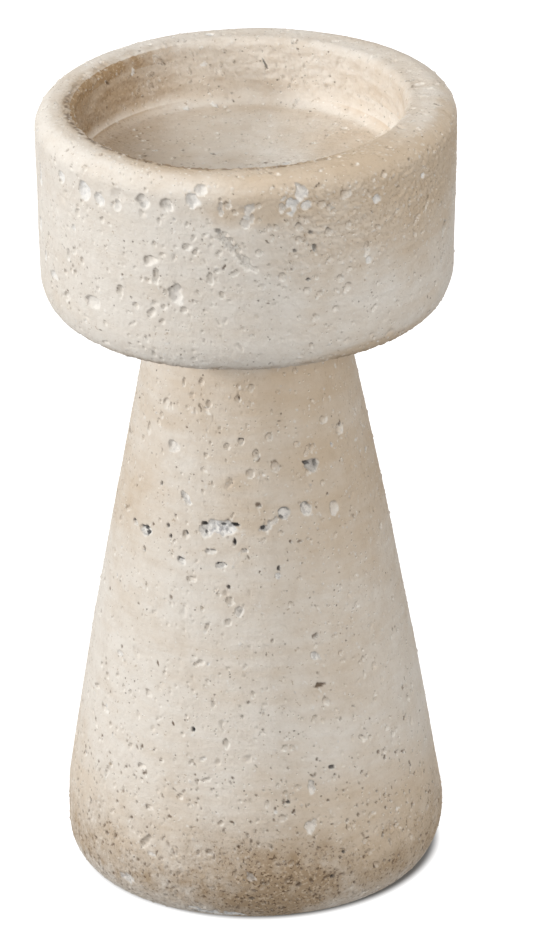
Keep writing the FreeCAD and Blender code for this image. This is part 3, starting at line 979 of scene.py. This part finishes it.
def make_pedestal():
    columns = int(round(2 * math.pi * SHOULDER_RADIUS / GRID_STEP / 4)) * 4
    skin = Skin("pedestal_casting", pedestal_profile(GRID_STEP), columns, seed=23)
    skin.outside = (0.06, 0.56)
    last_outside = skin.row_at(FOOT_Z + 0.5, skin.outside)
    skin.relief += skin.noise.layers(skin.points, 45, 2) * 0.3
    skin.relief += skin.noise.layers(skin.points, 7, 3) * 0.07
    knobs(skin, 0.12, 2.2, 0.7)
    everything = (0, len(skin.profile) - 1)
    outside = (skin.row_at(NECK_Z - 0.5, skin.outside), last_outside)
    skin.scatter(0.06, (0.5, 0.95), everything, dirt_and_shade_share=0.12)
    skin.scatter(0.02, (0.8, 1.7), everything, raw_share=0.06, dirt_and_shade_share=0.04)
    skin.scatter(0.0006, (1.5, 2.3), outside)
    skin.scatter(0.16, (0.5, 0.9), outside, dirt_and_shade_share=0.9, weight=foot_pores)
    skin.scatter(0.08, (0.5, 1.2), outside, grains=True, weight=pedestal_grains)
    skin.raw *= smooth(6, 30, skin.points[..., 2])
    pedestal_marks(skin)
    pedestal_wash(skin)
    neck_edge = skin.run[skin.row_at(NECK_Z - 0.3, (0.02, 0.2))]
    foot_edge = skin.run[last_outside]
    hollow_top = skin.run[skin.row_at(HOLLOW_TOP_Z, (0.6, 1))]
    skin.charts = [
        {"rows": (0, neck_edge), "shape": "disc", "area": (0.8, 0.01, 0.9, 0.11)},
        {"rows": (neck_edge, foot_edge), "shape": "band", "area": (0.012, 0.29, 0.988, 0.995)},
        {"rows": (foot_edge, hollow_top), "shape": "band", "area": (0.012, 0.005, 0.77, 0.28)},
        {"rows": (hollow_top, skin.run[-1]), "shape": "disc from the edge",
         "area": (0.8, 0.13, 0.9, 0.23)},
    ]
    skin.finish(cement("pedestal_cement", sandy_foot=True), "pedestal")


def make_mortar():
    """The bed of mortar between the castings, squeezed out unevenly along its edge."""
    middle = (mortar_bed_low + mortar_bed_high) / 2
    edge_low, edge_high = (BED_RADIUS, mortar_bed_low), (BED_RADIUS, mortar_bed_high)
    bead_low, bead_high = (BED_RADIUS + 1.1, middle - 0.9), (BED_RADIUS + 0.9, middle + 1.1)
    profile = resample([
        ([(0, mortar_bed_low), edge_low], 3.0),
        (curve([edge_low, bead_low, bead_high, edge_high]), 0.4),
        ([edge_high, (0, mortar_bed_high)], 3.0),
    ])
    skin = Skin("mortar_bead", profile, 360, seed=31)
    at_edge = smooth(BED_RADIUS - 2, BED_RADIUS, np.hypot(skin.points[..., 0], skin.points[..., 1]))
    skin.relief += at_edge * (skin.noise.layers(skin.points, 9, 4) * 0.5 - 0.1)
    skin.charts = [{"rows": (0, skin.run[-1]), "shape": "band", "area": (0.01, 0.01, 0.99, 0.99)}]
    skin.finish(mortar_grey(), "joint_mortar")


def make_felt_pad(node, material):
    """A felt disc with a soft, slightly frayed edge."""
    low, high = (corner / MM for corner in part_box(node))
    radius, top = (high.x - low.x) / 2, high.z - low.z
    profile = resample([
        ([(0, top), (radius - 0.2, top)], 0.4),
        (curve([(radius - 0.2, top), (radius, top), (radius, top * 0.4), (radius - 0.3, 0)]), 0.12),
        ([(radius - 0.3, 0), (0, 0)], 0.4),
    ])
    skin = Skin("felt_" + node, profile, 96, seed=41 + int(node[-1]))
    skin.centre = np.array(((low.x + high.x) / 2, (low.y + high.y) / 2, low.z))
    frayed = smooth(radius - 0.8, radius, np.hypot(skin.points[..., 0], skin.points[..., 1]))
    skin.relief -= np.abs(skin.noise.layers(skin.points, 1.0, 2)) * 0.14 * frayed
    skin.charts = [{"rows": (0, skin.run[-1]), "shape": "disc", "area": (0.01, 0.01, 0.99, 0.99)}]
    skin.finish(material, node)


make_cup()
make_pedestal()
make_mortar()
felt_material = felt()
for number in range(1, 5):
    make_felt_pad(f"foot_pad_{number}", felt_material)


# ---------------------------------------------------------------- floor, light and camera
AIM = Vector((4.6, 0, 110)) * MM
CAMERA_DISTANCE = 3.3
CAMERA_ELEVATION = math.radians(24.13)
CAMERA_ROLL = -0.0124
LENS = 476.8

# The holder's soft shadow on the floor is a disc that ends just outside the foot, in mm
SHADOW_CENTRE = (1.4, 8, 0)
SHADOW_NARROWING = (1.05, 1, 1)
SHADOW_FULL_RADIUS = 47.8
SHADOW_END_RADIUS = 51.4
FLOOR_GREY = (0.35, 0.35, 0.35, 1)
FLOOR_GLOW = 0.95  # lifts the lit floor to white
STUDIO_BELOW, STUDIO_ABOVE = 0.34, 0.42  # strength of the white surroundings


def make_floor():
    bpy.ops.mesh.primitive_plane_add(size=30)
    floor = bpy.context.object
    floor.name = "floor"
    paint = Paint("floor")
    inputs = {0: paint.place(), 1: SHADOW_CENTRE}
    middle = paint.node("ShaderNodeVectorMath", inputs, operation="SUBTRACT").outputs[0]
    shadow = paint.stretched(middle, SHADOW_NARROWING)
    away = paint.node("ShaderNodeVectorMath", {0: shadow}, operation="LENGTH").outputs["Value"]
    glow = paint.ramp(away, SHADOW_FULL_RADIUS, SHADOW_END_RADIUS, 0.0, FLOOR_GLOW)
    paint.put(paint.shader.inputs["Base Color"], FLOOR_GREY)
    paint.put(paint.shader.inputs["Roughness"], 1.0)
    paint.put(paint.shader.inputs["Specular IOR Level"], 0.0)
    paint.put(paint.shader.inputs["Emission Color"], (1, 1, 1, 1))
    paint.put(paint.shader.inputs["Emission Strength"], glow)
    floor.data.materials.append(paint.material)
    floor.visible_diffuse = False  # its glow doesn't light the object from below


def area_light(name, azimuth, elevation, distance, size, power):
    """A square soft box. Azimuth 0 is in front of the object and grows towards its right."""
    azimuth, elevation = math.radians(azimuth), math.radians(elevation)
    back = Vector((
        math.sin(azimuth) * math.cos(elevation),
        -math.cos(azimuth) * math.cos(elevation),
        math.sin(elevation),
    ))
    lamp = bpy.data.lights.new(name, "AREA")
    lamp.size = size
    lamp.energy = power
    lamp_object = bpy.data.objects.new(name, lamp)
    lamp_object.location = AIM + back * distance
    lamp_object.rotation_euler = back.to_track_quat("Z", "Y").to_euler()
    bpy.context.scene.collection.objects.link(lamp_object)


def make_camera():
    camera = bpy.data.cameras.new("camera")
    camera.lens = LENS
    camera.sensor_width = 36
    camera.clip_end = 50
    camera_object = bpy.data.objects.new("camera", camera)
    back = Vector((0, -math.cos(CAMERA_ELEVATION), math.sin(CAMERA_ELEVATION)))
    turn = back.to_track_quat("Z", "Y").to_matrix() @ Matrix.Rotation(CAMERA_ROLL, 3, "Z")
    camera_object.matrix_world = Matrix.Translation(AIM + back * CAMERA_DISTANCE) @ turn.to_4x4()
    bpy.context.scene.collection.objects.link(camera_object)
    bpy.context.scene.camera = camera_object


def make_world():
    """A white studio, a little brighter overhead than below."""
    world = bpy.data.worlds.new("studio")
    world.use_nodes = True
    nodes, links = world.node_tree.nodes, world.node_tree.links
    way = nodes.new("ShaderNodeTexCoord").outputs["Generated"]
    split = nodes.new("ShaderNodeSeparateXYZ")
    ramp = nodes.new("ShaderNodeMapRange")
    links.new(way, split.inputs[0])
    links.new(split.outputs["Z"], ramp.inputs["Value"])
    span = {"From Min": -1, "From Max": 1, "To Min": STUDIO_BELOW, "To Max": STUDIO_ABOVE}
    for name, value in span.items():
        ramp.inputs[name].default_value = value
    links.new(ramp.outputs[0], nodes["Background"].inputs["Strength"])
    nodes["Background"].inputs["Color"].default_value = (1, 1, 1, 1)
    bpy.context.scene.world = world


make_floor()
area_light("key", azimuth=-82, elevation=20, distance=1.8, size=0.2, power=17.6)
area_light("front", azimuth=-15, elevation=22, distance=2.2, size=0.3, power=14.4)
area_light("right", azimuth=70, elevation=20, distance=2.2, size=0.5, power=12.2)
area_light("top", azimuth=0, elevation=86, distance=1.8, size=0.5, power=8.2)
make_world()
make_camera()
bpy.context.scene.view_settings.view_transform = "Standard"
